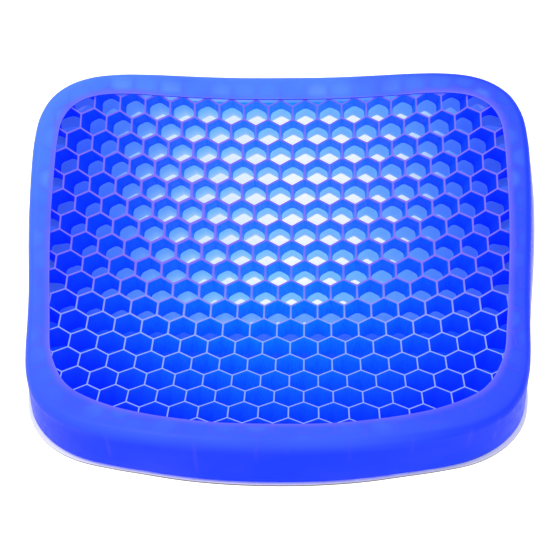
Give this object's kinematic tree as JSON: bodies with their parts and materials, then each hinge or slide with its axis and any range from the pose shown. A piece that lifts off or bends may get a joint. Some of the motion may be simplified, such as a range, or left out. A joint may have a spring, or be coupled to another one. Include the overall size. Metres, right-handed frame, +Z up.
{
  "type": "seat cushion",
  "caption": "Dished honeycomb gel seat cushion: two layers of open hexagonal cells inside a smooth rounded rim skin, on a thin pale backing sheet.",
  "frame": {"origin": "middle of the underside in plan, on the surface that the cushion lies on", "axes": "+X to the sitter's right across the width, +Y to the back of the seat, +Z up"},
  "size_m": [0.4324, 0.3801, 0.0947],
  "materials": {
    "gel_deep": "satin translucent elastomer gel, deep blue",
    "gel_light": "satin translucent elastomer gel, lighter blue where light comes through from below",
    "gel_rim": "smooth satin elastomer gel skin, blue with a violet cast",
    "backing": "thin pale matt sheet"
  },
  "bodies": {
    "root": {"upper_honeycomb": "gel_deep", "lower_honeycomb": "gel_light", "rim_skin": "gel_rim", "backing_sheet": "backing"}
  },
  "joints": []
}
